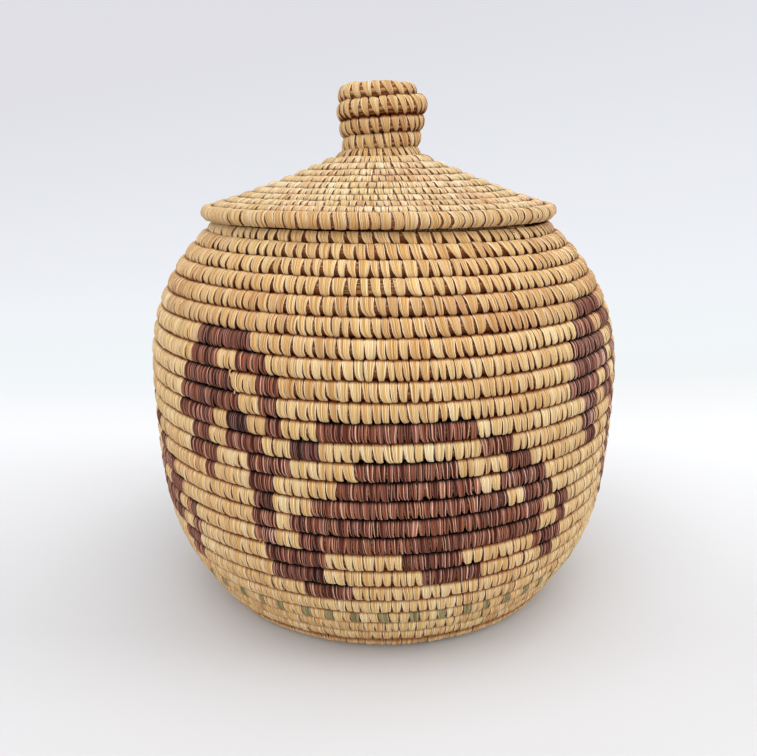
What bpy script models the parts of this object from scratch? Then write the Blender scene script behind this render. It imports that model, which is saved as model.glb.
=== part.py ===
# Lidded basket of coiled grass: a round pot, a shallow lid and a hollow coiled knob.
# Units are metres and +Z is up. The origin is the middle of the base, on the surface it stands on.
#
# Such a basket is a long bundle of grass, coiled round and sewn row upon row with grass stitches.
# The pot is one coil, from a start knot in the middle of the base up to a tapered end at the rim.
# The lid is a second coil, from a start knot on top of the knob out to a tapered end at the edge.
# Each turn of a coil is a node of its own, parted from the turns beside it by a joint gap.

import math

import bmesh
import bpy
import numpy as np
from mathutils import Vector
from mathutils.geometry import interpolate_bezier

# Coils
POT_ROWS = 35  # from the start knot to the rim
BASE_ROWS = 9  # of these, the flat ones round the start knot
LID_ROWS = 16  # from the start knot to the lid's edge
KNOB_ROWS = 5  # of these, the ones of the knob round its start knot
LID_GROWTH = -1 / 4  # change in the height of the lid's rows on the way to its edge, as a share
POT_THICKNESS = 0.0057  # through the wall
LID_THICKNESS = 0.0052  # through the lid
CREST_DROP = 0.0013  # a row's long edges lie this far under its crest
CREST_SHARE = 0.25  # share of a row's height that slopes, at each of its long edges
TAPER_TURN = 1 / 6  # part of a turn over which the last row of a coil thins out
TAPER_TIP = 0.1  # share of a row's height that is left at the tip
TIP_THICKNESS = 0.5  # share of the coil's thickness that is left at the tip

# Clearances
JOINT_GAP = 0.0003  # between rows, and between the end of one row and the start of the next
SEAT_GAP = 0.0003  # between the lid and the highest part of the rim
FLANGE_CLEARANCE = 0.0008  # between the lid's flange and the mouth, where they come closest

# Pot, measured to the middle of its coil
BASE_RADIUS = 0.0639  # flat part of the base
FOOT_BEND = 0.0045  # radius of the bend from base to wall
WALL_LEAN = math.radians(33)  # outward lean of the wall above the foot
BELLY_RADIUS = 0.0865
BELLY_HEIGHT = 0.0863
MOUTH_RADIUS = 0.0572
MOUTH_HEIGHT = 0.1431
SHOULDER_SLOPE = math.radians(36)  # rise of the shoulder where it ends at the mouth
LOWER_WALL_PULL = 0.0258  # how far the wall keeps its lean above the foot
BELLY_PULL_DOWN = 0.0555  # how far the wall stays upright below the belly
BELLY_PULL_UP = 0.0219  # how far the wall stays upright above the belly
SHOULDER_PULL = 0.0274  # how far the shoulder keeps its slope below the mouth
MOUTH_DIP = 0.00095  # the mouth is pressed down this much on its right, which levels the spiral rim

# Lid, measured to the middle of its coil
LID_SHIFT = -0.0010  # sideways from the middle of the mouth, as a loose lid sits
LID_OVERHANG = 0.0116  # edge of the lid beyond the mouth
LID_RISE = 0.0195  # from the lid's edge to the foot of the knob
LID_TOP_SLOPE = math.radians(22)  # fall of the lid beside the knob
LID_EDGE_SLOPE = math.radians(13)  # fall of the lid at its edge
LID_PULL = 0.0195  # how far the lid keeps its slope at either end
KNOB_HEIGHT = 0.0238  # from the foot of the knob to its top
KNOB_TOP_RADIUS = 0.0140
KNOB_NECK_RADIUS = 0.0116
KNOB_TOP_BEND = 0.0030
KNOB_FOOT_BEND = 0.0040
KNOB_PULL = 0.0065  # how far the knob's side keeps its direction at either end
KNOB_NECK_LEAN = math.radians(8)  # outward lean of the knob's side above its neck

# Flange, the two rows under the lid that hold it in the mouth
FLANGE_THICKNESS = 0.0052
FLANGE_ROW_HEIGHT = 0.0056

# Mesh
TURN_STEPS = 24  # straight pieces in one turn
SMALL_TURN_STEPS = 12  # the same, for the smallest turns
SMALL_TURN_RADIUS = 0.0125
CURVE_STEPS = 40  # straight pieces in one stretch of an outline
TANGENT_REACH = 0.0002  # either way along an outline, to find its direction
SHARP_ANGLE = math.radians(35)  # edges that turn more than this are shaded sharp

# Both coils end at the back, so that the lid's tapered end lies over the rim's
POT_START_ANGLE = math.radians(90)
LID_START_ANGLE = POT_START_ANGLE - TAPER_TURN * 2 * math.pi
ANTICLOCKWISE = 1  # the way the pot's coil runs, seen from above
CLOCKWISE = -1  # the way the lid's coil runs, seen from above


def line(start, end):
    return [Vector(start), Vector(end)]


def arc(start, start_heading, end_heading, radius):
    # Points of an arc that leaves start along start_heading. Headings are angles above the radius axis.
    side = 1 if end_heading > start_heading else -1
    centre = Vector(start) + side * radius * Vector((-math.sin(start_heading), math.cos(start_heading)))
    headings = np.linspace(start_heading, end_heading, CURVE_STEPS + 1)
    return [centre + side * radius * Vector((math.sin(a), -math.cos(a))) for a in headings]


def curve(start, start_heading, start_pull, end, end_heading, end_pull):
    # Points of a Bezier curve between two places and headings.
    start = Vector(start)
    end = Vector(end)
    start_handle = start + start_pull * heading_vector(start_heading)
    end_handle = end - end_pull * heading_vector(end_heading)
    return interpolate_bezier(start, start_handle, end_handle, end, CURVE_STEPS + 1)


def heading_vector(heading):
    return Vector((math.cos(heading), math.sin(heading)))


class Outline:
    # Middle line of a coiled wall, as radius and height, read by the distance along it from the axis.

    def __init__(self, stretches, outer_side):
        points = [stretches[0][0]]
        for stretch in stretches:
            points.extend(stretch[1:])
        self.points = np.array(points)
        steps = np.linalg.norm(np.diff(self.points, axis=0), axis=1)
        self.distances = np.concatenate(([0.0], np.cumsum(steps)))
        self.length = self.distances[-1]
        self.outer_side = outer_side  # 1 where the outer face lies right of the way along, else -1

    def middle(self, distance):
        radius = np.interp(distance, self.distances, self.points[:, 0])
        height = np.interp(distance, self.distances, self.points[:, 1])
        return np.array((radius, height))

    def place(self, distance, outward):
        # The point that lies outward from the middle line, towards the outer face.
        along = self.middle(distance + TANGENT_REACH) - self.middle(distance - TANGENT_REACH)
        along /= np.linalg.norm(along)
        outer = self.outer_side * np.array((along[1], -along[0]))
        return self.middle(distance) + outward * outer


class Coil:
    # The rows of one coil along an outline. A row covers the stretch between two borders, and both
    # borders move on by one row in each turn, which is what makes the coil a spiral.

    def __init__(self, outline, thickness, rows, growth, start_angle, way_round):
        self.outline = outline
        self.thickness = thickness
        self.rows = rows
        self.growth = growth
        self.turns = rows + 1 - TAPER_TURN
        self.start_angle = start_angle
        self.way_round = way_round

    def border(self, turns):
        # Distance along the outline of the border that a coil of so many turns reaches.
        share = turns / self.turns
        return self.outline.length * share * (1 + self.growth * share / 2) / (1 + self.growth / 2)

    def angle(self, turn):
        return self.start_angle + self.way_round * 2 * math.pi * turn

    def fullness(self, row, turn):
        # 1 along a coil, and less along the tapered end of its last row.
        if row < self.rows or turn <= 1 - TAPER_TURN:
            return 1.0
        return 1 - (1 - TAPER_TIP) * (turn - 1 + TAPER_TURN) / TAPER_TURN

    def borders(self, row, turn):
        low = self.border(row - 1 + turn)
        full = self.border(row + turn) - low
        return low, low + full * self.fullness(row, turn)

    def section(self, row, turn, round_edge=False):
        # Corners of the row's cross-section, as radius and height.
        low, high = self.borders(row, turn)
        low += JOINT_GAP / 2
        high -= JOINT_GAP / 2
        slope = CREST_SHARE * (high - low)
        thinning = TIP_THICKNESS + (1 - TIP_THICKNESS) * self.fullness(row, turn)
        face = self.thickness / 2 * thinning
        drop = CREST_DROP * thinning
        place = self.outline.place
        corners = [place(low, -face)]
        if round_edge:
            corners += [place(high - slope, -face), place(high, drop - face)]
        else:
            corners += [place(high, -face)]
        corners += [place(high, face - drop), place(high - slope, face)]
        corners += [place(low + slope, face), place(low, face - drop)]
        return corners

    def row_turns(self, row):
        return turns_round(self.outline.middle(self.border(row + 0.5))[0])


def turns_round(radius):
    # The parts of a turn at which one row's cross-sections stand, with half a joint gap at either end.
    steps = SMALL_TURN_STEPS if radius < SMALL_TURN_RADIUS else TURN_STEPS
    end_gap = JOINT_GAP / 2 / (2 * math.pi * radius)
    return [end_gap] + [step / steps for step in range(1, steps)] + [1 - end_gap]


def pot_outline():
    base_height = POT_THICKNESS / 2
    wall_heading = math.pi / 2 - WALL_LEAN
    upright = math.pi / 2
    mouth_heading = math.pi - SHOULDER_SLOPE
    base = line((0, base_height), (BASE_RADIUS, base_height))
    foot = arc(base[-1], 0, wall_heading, FOOT_BEND)
    belly = (BELLY_RADIUS, BELLY_HEIGHT)
    mouth = (MOUTH_RADIUS, MOUTH_HEIGHT)
    lower_wall = curve(foot[-1], wall_heading, LOWER_WALL_PULL, belly, upright, BELLY_PULL_DOWN)
    upper_wall = curve(belly, upright, BELLY_PULL_UP, mouth, mouth_heading, SHOULDER_PULL)
    return Outline([base, foot, lower_wall, upper_wall], outer_side=1)


def lid_outline():
    # Heights are measured up from the middle of the coil at the lid's edge.
    down = -math.pi / 2
    knob_top = LID_RISE + KNOB_HEIGHT
    top = line((0, knob_top), (KNOB_TOP_RADIUS - KNOB_TOP_BEND, knob_top))
    top_bend = arc(top[-1], 0, down, KNOB_TOP_BEND)
    neck_height = LID_RISE + KNOB_FOOT_BEND * math.cos(LID_TOP_SLOPE)
    neck = (KNOB_NECK_RADIUS, neck_height)
    side = curve(top_bend[-1], down, KNOB_PULL, neck, down - KNOB_NECK_LEAN, KNOB_PULL)
    foot_bend = arc(neck, down, -LID_TOP_SLOPE, KNOB_FOOT_BEND)
    edge = (MOUTH_RADIUS + LID_OVERHANG, 0)
    cover = curve(foot_bend[-1], -LID_TOP_SLOPE, LID_PULL, edge, -LID_EDGE_SLOPE, LID_PULL)
    return Outline([top, top_bend, side, foot_bend, cover], outer_side=-1)


def in_pot(corner, angle):
    # A corner of the pot at an angle round it, with the slight dip of the mouth.
    radius, height = corner
    dip = MOUTH_DIP * (height / MOUTH_HEIGHT) ** 2 * radius * math.cos(angle) / MOUTH_RADIUS
    return Vector((radius * math.cos(angle), radius * math.sin(angle), height - dip))


def in_lid(corner, angle):
    radius, height = corner
    return Vector((radius * math.cos(angle), radius * math.sin(angle), height))


def loop_of_edges(bm, points):
    verts = [bm.verts.new(point) for point in points]
    return [bm.edges.new((verts[index - 1], vert)) for index, vert in enumerate(verts)]


def loft(loops_of_points):
    # A closed body through loops of points, with a flat face over its first and its last loop.
    bm = bmesh.new()
    loops = [loop_of_edges(bm, points) for points in loops_of_points]
    for loop, next_loop in zip(loops, loops[1:]):
        bmesh.ops.bridge_loops(bm, edges=loop + next_loop)
    bmesh.ops.holes_fill(bm, edges=loops[0] + loops[-1])
    bmesh.ops.recalc_face_normals(bm, faces=bm.faces)
    return bm


def add_node(name, bm, holder, material):
    mesh = bpy.data.meshes.new(name)
    bm.to_mesh(mesh)
    bm.free()
    mesh.shade_smooth()
    mesh.set_sharp_from_angle(angle=SHARP_ANGLE)
    mesh.materials.append(material)
    node = bpy.data.objects.new(name, mesh)
    node.parent = holder
    bpy.context.collection.objects.link(node)


def add_holder(name, place):
    holder = bpy.data.objects.new(name, None)
    holder.location = place
    bpy.context.collection.objects.link(holder)
    return holder


def grass_material(name, colour, roughness):
    material = bpy.data.materials.new(name)
    material.use_nodes = True
    shader = material.node_tree.nodes["Principled BSDF"]
    shader.inputs["Base Color"].default_value = (*colour, 1)
    shader.inputs["Roughness"].default_value = roughness
    shader.inputs["Metallic"].default_value = 0.0
    return material


def add_row(name, coil, row, to_space, holder, material):
    is_edge = coil.way_round == CLOCKWISE and row == coil.rows
    loops = []
    for turn in coil.row_turns(row):
        corners = coil.section(row, turn, round_edge=is_edge)
        loops.append([to_space(corner, coil.angle(turn)) for corner in corners])
    add_node(name, loft(loops), holder, material)


def add_start_knot(name, coil, to_space, holder, material):
    # The tight first turn, wrapped round itself: a disc whose edge winds out by one row.
    turns = coil.row_turns(1)
    turns[0] = turns[-1] - 1  # the step between its two ends is straight, short of the next row
    sections = [coil.section(1, turn) for turn in turns]
    loops = []
    for corner in (1, 2, 3):  # the inner face's edge, then the two edges of the crest
        points = [to_space(section[corner], coil.angle(turn)) for section, turn in zip(sections, turns)]
        loops.append(points)
    add_node(name, loft(loops), holder, material)


def add_flange_row(name, number, mouth_radius, underside, holder, material):
    # Row 1 starts as a thin wedge under the lid, and row 2 ends in a taper, so both rims are near level.
    loops = []
    for turn in turns_round(MOUTH_RADIUS):
        angle = LID_START_ANGLE + CLOCKWISE * 2 * math.pi * turn
        outer = mouth_radius(angle) - FLANGE_CLEARANCE - abs(LID_SHIFT)
        inner = outer - FLANGE_THICKNESS
        ceiling_out = underside(outer) - JOINT_GAP
        ceiling_in = underside(inner) - JOINT_GAP
        border = ceiling_out - FLANGE_ROW_HEIGHT * (turn + TAPER_TIP)
        if number == 1:
            top_out, top_in, bottom = ceiling_out, ceiling_in, border + JOINT_GAP / 2
        else:
            taper = max(0.0, (turn - 1 + TAPER_TURN) / TAPER_TURN)
            fall = FLANGE_ROW_HEIGHT * (1 - (1 - TAPER_TIP) * taper)
            top_out = top_in = border - JOINT_GAP / 2
            bottom = border - fall
        edge = CREST_SHARE * (top_out - bottom)
        corners = [
            (inner, top_in),
            (outer - CREST_DROP, top_out),
            (outer, top_out - edge),
            (outer, bottom + edge),
            (outer - CREST_DROP, bottom),
            (inner, bottom),
        ]
        loops.append([in_lid(corner, angle) for corner in corners])
    add_node(name, loft(loops), holder, material)


def pot_and_lid():
    pot = Coil(pot_outline(), POT_THICKNESS, POT_ROWS, 0, POT_START_ANGLE, ANTICLOCKWISE)
    lid = Coil(lid_outline(), LID_THICKNESS, LID_ROWS, LID_GROWTH, LID_START_ANGLE, CLOCKWISE)
    return pot, lid


def inner_face_height(lid):
    # A function that gives the height of the lid's underside at a radius outside the knob.
    outline = lid.outline
    cover = outline.distances[outline.points[:, 1] < LID_RISE]
    faces = np.array([outline.place(distance, -lid.thickness / 2) for distance in cover])
    return lambda radius: float(np.interp(radius, faces[:, 0], faces[:, 1]))


def inner_mouth_radius(pot):
    # A function that gives the mouth's inner radius at an angle round it.
    def radius_at(angle):
        turn = ((angle - pot.start_angle) / (2 * math.pi)) % 1.0
        return pot.section(pot.rows, turn)[1][0]

    return radius_at


def seat_height(pot, underside):
    # Height of the lid's zero at which its underside just clears the highest part of the rim.
    heights = []
    for step in range(TURN_STEPS):
        turn = step / TURN_STEPS
        for corner in pot.section(pot.rows, turn):
            rim = in_pot(corner, pot.angle(turn))
            heights.append(rim.z - underside(math.hypot(rim.x - LID_SHIFT, rim.y)))
    return max(heights) + SEAT_GAP


def build_pot(pot):
    holder = add_holder("pot", (0, 0, 0))
    base_grass = grass_material("base_grass", (0.42, 0.27, 0.12), 0.75)
    wall_grass = grass_material("wall_grass", (0.58, 0.37, 0.17), 0.6)
    rim_grass = grass_material("rim_grass", (0.55, 0.36, 0.18), 0.6)
    add_start_knot("base_start_knot", pot, in_pot, holder, base_grass)
    for number in range(1, BASE_ROWS + 1):
        add_row(f"base_row_{number:02d}", pot, number + 1, in_pot, holder, base_grass)
    for number in range(1, pot.rows - BASE_ROWS - 1):
        add_row(f"wall_row_{number:02d}", pot, BASE_ROWS + number + 1, in_pot, holder, wall_grass)
    add_row("rim_row", pot, pot.rows, in_pot, holder, rim_grass)


def build_lid(pot, lid):
    underside = inner_face_height(lid)
    holder = add_holder("lid", (LID_SHIFT, 0, seat_height(pot, underside)))
    knob_grass = grass_material("knob_grass", (0.53, 0.33, 0.15), 0.6)
    lid_grass = grass_material("lid_grass", (0.62, 0.43, 0.22), 0.6)
    flange_grass = grass_material("flange_grass", (0.50, 0.33, 0.16), 0.7)
    add_start_knot("knob_start_knot", lid, in_lid, holder, knob_grass)
    for number in range(1, KNOB_ROWS + 1):
        add_row(f"knob_row_{number:02d}", lid, number + 1, in_lid, holder, knob_grass)
    for number in range(1, lid.rows - KNOB_ROWS - 1):
        add_row(f"lid_row_{number:02d}", lid, KNOB_ROWS + number + 1, in_lid, holder, lid_grass)
    add_row("lid_edge_row", lid, lid.rows, in_lid, holder, lid_grass)
    mouth_radius = inner_mouth_radius(pot)
    for number in (1, 2):
        name = f"lid_flange_row_{number:02d}"
        add_flange_row(name, number, mouth_radius, underside, holder, flange_grass)


def main():
    for item in list(bpy.data.objects):
        bpy.data.objects.remove(item)
    pot, lid = pot_and_lid()
    build_pot(pot)
    build_lid(pot, lid)


main()
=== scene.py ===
# Lidded basket of coiled beach grass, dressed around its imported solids.
# Each turn of both coils gets a bundle of foundation grass and its own sewn stitches.

import math

import bpy
import numpy as np
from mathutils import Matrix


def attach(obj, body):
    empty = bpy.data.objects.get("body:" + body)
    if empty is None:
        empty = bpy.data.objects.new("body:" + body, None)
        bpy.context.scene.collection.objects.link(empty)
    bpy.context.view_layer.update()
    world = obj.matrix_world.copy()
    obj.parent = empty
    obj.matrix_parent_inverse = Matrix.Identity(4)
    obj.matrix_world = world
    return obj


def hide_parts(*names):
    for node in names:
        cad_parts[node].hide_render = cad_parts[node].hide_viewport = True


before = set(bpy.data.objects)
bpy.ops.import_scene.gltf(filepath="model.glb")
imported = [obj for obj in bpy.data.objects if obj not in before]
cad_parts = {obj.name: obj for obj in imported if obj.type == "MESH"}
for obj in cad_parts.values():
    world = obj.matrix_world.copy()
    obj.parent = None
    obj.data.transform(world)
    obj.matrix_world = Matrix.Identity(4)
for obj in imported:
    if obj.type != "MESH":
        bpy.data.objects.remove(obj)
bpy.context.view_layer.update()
mm = 0.001
fullTurn = 2 * math.pi
dice = np.random.RandomState(11)


def say(text):
    print("basket:", text)


# The coils, each with its turns in the order in which they were sewn
potCoil = {
    "body": "basket",
    "nodes": ["base_start_knot"]
    + [f"base_row_{n:02d}" for n in range(1, 10)]
    + [f"wall_row_{n:02d}" for n in range(1, 25)]
    + ["rim_row"],
    "axis": (0, 0),
    "startAngle": math.radians(90),  # the back
    "wayRound": 1,  # anticlockwise, seen from above
    "outerSide": 1,  # 1 where the outer face lies to the right of the way along the outline
    "tipSide": -1,  # the stitches' tips hang over the row before, which is the lower one
    "tipSquareness": 3.2,  # 2 is an ellipse; more makes a row flatter, with a sharper crease
    "squareness": 2.1,  # the same on the other side
}
lidCoil = {
    "body": "lid",
    "nodes": ["knob_start_knot"]
    + [f"knob_row_{n:02d}" for n in range(1, 6)]
    + [f"lid_row_{n:02d}" for n in range(1, 10)]
    + ["lid_edge_row"],
    "axis": (-1.0 * mm, 0),  # the loose lid sits a little to its left
    "startAngle": math.radians(30),
    "wayRound": -1,
    "outerSide": -1,
    "tipSide": 1,  # here the next row is the lower one
    "tipSquareness": 2.0,
    "squareness": 2.4,
}
flangeCoil = dict(lidCoil, nodes=["lid_flange_row_01", "lid_flange_row_02"])

# What a coil's path holds at each of its sections. Turns are counted from the start, and "along"
# points to the next row.
pathColumns = ("turn", "radius", "height", "alongRadius", "alongHeight", "halfHeight", "halfThickness")
sectionGap = 0.003  # in turns: cross-sections of a CAD solid stand further apart than this


def coilValue(coil, turn, name):
    return np.interp(turn, coil["path"][:, 0], coil["path"][:, pathColumns.index(name)])


def sectionsOf(node, coil):
    # The cross-sections of one CAD turn: the share of the turn, and its corners' radius and height
    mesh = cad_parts[node].data
    corners = np.zeros(len(mesh.vertices) * 3, np.float32)
    mesh.vertices.foreach_get("co", corners)
    corners = np.unique(np.round(corners.reshape(-1, 3).astype(float), 6), axis=0) - (*coil["axis"], 0)
    angles = np.arctan2(corners[:, 1], corners[:, 0])
    turns = (coil["wayRound"] * (angles - coil["startAngle"]) / fullTurn) % 1.0
    outline = np.stack([np.hypot(corners[:, 0], corners[:, 1]), corners[:, 2]], 1)
    order = np.argsort(turns)
    turns, outline = turns[order], outline[order]
    cuts = np.where(np.diff(turns) > sectionGap)[0] + 1
    return [(part.mean(), points) for part, points in zip(np.split(turns, cuts), np.split(outline, cuts))]


def directionAt(turn, turns, middles):
    # From the row before to the row after, or between this row and the only neighbour it has
    def middleAt(place):
        return np.array([np.interp(place, turns, middles[:, 0]), np.interp(place, turns, middles[:, 1])])

    hasNext = turn + 1 <= turns[-1]
    hasLast = turn - 1 >= turns[0] or not hasNext
    along = middleAt(turn + 1 if hasNext else turn) - middleAt(turn - 1 if hasLast else turn)
    return along / np.linalg.norm(along)


def readCoil(coil):
    # Fills in the path of a coil from its CAD solids
    sections = []
    for row, node in enumerate(coil["nodes"]):
        for turn, points in sectionsOf(node, coil):
            sections.append((row + turn, points))
    hasKnot = "knot" in coil["nodes"][0]
    body = [(turn, points) for turn, points in sections if turn >= 1 or not hasKnot]
    turns = np.array([turn for turn, _ in body])
    middles = np.array([points.mean(0) for _, points in body])
    path = []
    for (turn, points), middle in zip(body, middles):
        along = directionAt(turn, turns, middles)
        out = coil["outerSide"] * np.array([along[1], -along[0]])
        reach = (points - middle) @ along
        depth = (points - middle) @ out
        middle = middle + along * (reach.min() + reach.max()) / 2 + out * (depth.min() + depth.max()) / 2
        halfHeight = (reach.max() - reach.min()) / 2
        halfThickness = (depth.max() - depth.min()) / 2
        path.append([turn, *middle, *along, halfHeight, halfThickness])
    coil["path"] = np.array(path)
    coil["rows"] = len(coil["nodes"])
    if hasKnot:
        coil["path"] = np.vstack([knotPath(coil, sections), coil["path"]])
    return coil


knot = {
    "turns": 0.92,  # how far the coil winds on inwards inside the start knot's disc
    "join": 0.02,  # where that ends, in turns before the disc's own sections
    "steps": 12,
    "hole": 0.15 * mm,  # what it leaves open in the middle
    "opening": 0.7 * mm,  # how much wider the hole is where the first full turn starts
    "leastHalf": 0.3 * mm,
    "thin": 0.62,  # thickness of its first end, as a share
}


def knotPath(coil, sections):
    # The start knot is a disc: its coil lies one row inside the turn that winds round it
    disc = []
    for turn, points in sections:
        if turn < 1:
            halfHeight = coilValue(coil, turn + 1, "halfHeight")
            halfThickness = coilValue(coil, 1.5, "halfThickness")  # as halfway round the next turn
            radius = points[:, 0].max() - halfHeight
            height = (points[:, 1].max() + points[:, 1].min()) / 2
            disc.append([turn, radius, height, 1, 0, halfHeight, halfThickness])
    # Inside that, its thin first end fills the middle
    disc = np.array(disc)
    inner = []
    for turn in np.linspace(-knot["turns"], -knot["join"], knot["steps"]):
        share = 1 + turn
        outside = np.interp(turn + 1, disc[:, 0], disc[:, 1] - disc[:, 5])
        inside = knot["hole"] + knot["opening"] * share ** 3
        half = max(knot["leastHalf"], (outside - inside) / 2)
        thickness = disc[0, 6] * (knot["thin"] + (1 - knot["thin"]) * share)
        inner.append([turn, (outside + inside) / 2, disc[0, 2], 1, 0, half, thickness])
    return np.vstack([inner, disc])


def smooth(low, high, value):
    share = np.clip((value - low) / (high - low), 0, 1)
    return share * share * (3 - 2 * share)


bundle = {
    "grow": 0.16 * mm,  # half the CAD's joint gap, so that rows meet
    "sway": 0.16 * mm,  # how far a row strays from its even path
    "swayWaves": [(5, 0.7, 0.5), (11, -1.9, 0.3), (23, 4.1, 0.2)],  # waves a turn, turning, share
    "rimDraw": 1.7 * mm,  # the rim falls away outwards under the lid, which leaves a shadow gap there
    "drawFrom": (-0.6, 0.3),  # between these, of -1 on the inner face to 1 on the outer one
}


def drawOf(coil, row):
    # Only the basket's rim is drawn down
    return bundle["rimDraw"] * (coil["nodes"][row] == "rim_row")


def swayAt(turn):
    # A hand-made row wanders a little, and the rows next to it follow
    angle = turn * fullTurn
    waves = bundle["swayWaves"]
    return sum(share * np.sin(count * angle + turning * turn) for count, turning, share in waves)


def onCoil(coil, turn, side, lift, reach=0, draw=0):
    # Places on a coil. side is the angle round the bundle: 0 on the outer face, 90 degrees next row.
    # reach lengthens the side of the stitches' tips, and draw shortens the other side's outer half.
    tipHalf = coil["tipSide"] * np.sin(side) > 0
    drawn = draw * smooth(*bundle["drawFrom"], np.cos(side)) * ~tipHalf
    power = 2 / np.where(tipHalf, coil["tipSquareness"], coil["squareness"])
    toNext = np.sign(np.sin(side)) * np.abs(np.sin(side)) ** power
    toOut = np.sign(np.cos(side)) * np.abs(np.cos(side)) ** power
    halfHeight = coilValue(coil, turn, "halfHeight") + bundle["grow"] + lift + reach * tipHalf - drawn
    halfThickness = coilValue(coil, turn, "halfThickness") + lift
    toNext = toNext + bundle["sway"] * swayAt(turn) / halfHeight
    alongRadius, alongHeight = coilValue(coil, turn, "alongRadius"), coilValue(coil, turn, "alongHeight")
    outRadius, outHeight = coil["outerSide"] * alongHeight, -coil["outerSide"] * alongRadius
    high, thick = halfHeight * toNext, halfThickness * toOut
    radius = coilValue(coil, turn, "radius") + alongRadius * high + outRadius * thick
    height = coilValue(coil, turn, "height") + alongHeight * high + outHeight * thick
    angle = coil["startAngle"] + coil["wayRound"] * fullTurn * turn
    right, back = coil["axis"]
    return np.stack([radius * np.cos(angle) + right, radius * np.sin(angle) + back, height], 1)


def deselectAll():
    for item in bpy.context.selected_objects:
        item.select_set(False)


def meshArrays(item):
    # Vertices and faces of a modelled shape
    mesh = item.data
    spots = np.zeros(len(mesh.vertices) * 3)
    mesh.vertices.foreach_get("co", spots)
    return spots.reshape(-1, 3), [tuple(face.vertices) for face in mesh.polygons]


def modelRod(sides, steps):
    # A straight round rod with steps along it, from share 0 to 1
    deselectAll()
    bpy.ops.mesh.primitive_cylinder_add(vertices=sides, radius=1, depth=1)
    rod = bpy.context.object
    bpy.ops.object.mode_set(mode="EDIT")
    bpy.ops.mesh.select_mode(type="EDGE")
    bpy.ops.mesh.select_all(action="DESELECT")
    bpy.ops.object.mode_set(mode="OBJECT")
    for edge in rod.data.edges:
        low, high = (rod.data.vertices[index].co for index in edge.vertices)
        edge.select = abs(low.z - high.z) > 0.5  # the edges that run along it
    bpy.ops.object.mode_set(mode="EDIT")
    bpy.ops.mesh.subdivide(number_cuts=steps - 1)
    bpy.ops.object.mode_set(mode="OBJECT")
    spots, faces = meshArrays(rod)
    bpy.data.objects.remove(rod)
    return {"side": np.arctan2(spots[:, 1], spots[:, 0]), "share": spots[:, 2] + 0.5, "faces": faces}


core = {
    "sides": 24,
    "steps": 72,
    "depth": 0.5 * mm,  # it lies this deep under the bundle's full size
    "floor": 0.2 * mm,  # and this high over what the basket stands on
    "fibreRound": 3.0,  # how far the fibre pattern goes across, for each radian round the bundle
    "fibreShift": 0.37,  # and how far it moves on from row to row
    "tone": 0.5,
    "dark": (0.2, 0.75),  # how dark it is all over, and the painted shade that the creases add to it
    "darkFrom": (0.88, 1.0),  # where the creases' painted shade begins and ends, from 0 on the outer face to 1
}


def layCore(coil, row, shape):
    # One turn of the coil's bundle of foundation grass
    low = row if row else coil["path"][0, 0]
    high = min(row + 1, coil["path"][-1, 0])
    turn = low + shape["share"] * (high - low)
    count = len(turn)
    spots = onCoil(coil, turn, shape["side"], -core["depth"], draw=drawOf(coil, row))
    spots[:, 2] = np.maximum(spots[:, 2], core["floor"])
    along = turn * fullTurn * coilValue(coil, turn, "radius") / mm
    dark, creases = core["dark"]
    fibre = [shape["side"] * core["fibreRound"], along, np.full(count, row * core["fibreShift"])]
    return {
        "spots": spots,
        "faces": shape["faces"],
        "fibre": np.stack(fibre, 1),
        "tone": np.full(count, core["tone"]),
        "shadeAndSoiling": dark + creases * smooth(*core["darkFrom"], np.abs(np.sin(shape["side"]))),
        "rim": np.zeros(count),
    }


strap = {
    "roundSteps": 14,  # faces round the bundle
    "acrossSteps": 8,  # faces round the strap itself
    "outerSteps": 10,  # of the faces round the bundle, those on the outer face
    "tube": 0.25,  # how thick the ring is while it is modelled
    "shoulder": 0.86,  # where its flat face ends, as a share of its half width
    "under": 0.5,  # the same on its underside
    # How high its lines of points lie over the bundle: middle, shoulders, edges and underside
    "lifts": (0.2 * mm, 0.1 * mm, -0.25 * mm, -0.6 * mm),
    "floor": 0.02 * mm,  # what the basket stands on presses its lowest stitches flat
}
middleLine, shoulderLine, edgeLine, underLine = range(4)


def modelStrap():
    # One stitch as a ring of grass: a torus whose long way runs round the bundle
    deselectAll()
    bpy.ops.mesh.primitive_torus_add(
        major_segments=strap["roundSteps"],
        minor_segments=strap["acrossSteps"],
        major_radius=1,
        minor_radius=strap["tube"],
    )
    ring = bpy.context.object
    spots, faces = meshArrays(ring)
    bpy.data.objects.remove(ring)
    # Its section has eight points: a middle, two shoulders and two edges, and three underneath
    height = (np.hypot(spots[:, 0], spots[:, 1]) - 1) / strap["tube"]
    across = spots[:, 2] / strap["tube"]
    lines = [middleLine, shoulderLine, edgeLine]
    line = np.select([height > 0.9, height > 0.1, height > -0.1], lines, underLine)
    slant = (np.abs(across) > 0.5) & (np.abs(across) < 0.9)
    flat = np.where(height > 0, strap["shoulder"], strap["under"])
    across = np.where(slant, np.sign(across) * flat, across)
    across = np.where(line == edgeLine, np.sign(across), across)
    # The outer face gets more of the steps than the inner one, and the seam lies in the lower crease
    angle = np.arctan2(spots[:, 1], spots[:, 0]) % fullTurn
    steps = np.round(angle / fullTurn * strap["roundSteps"]).astype(int) % strap["roundSteps"]
    outer = strap["outerSteps"]
    inner = strap["roundSteps"] - outer
    sides = np.where(
        steps <= outer,
        -math.pi / 2 + math.pi * steps / outer,
        math.pi / 2 + math.pi * (steps - outer) / inner,
    )
    return {"side": sides, "across": across, "line": line, "faces": np.array(faces)}


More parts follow.
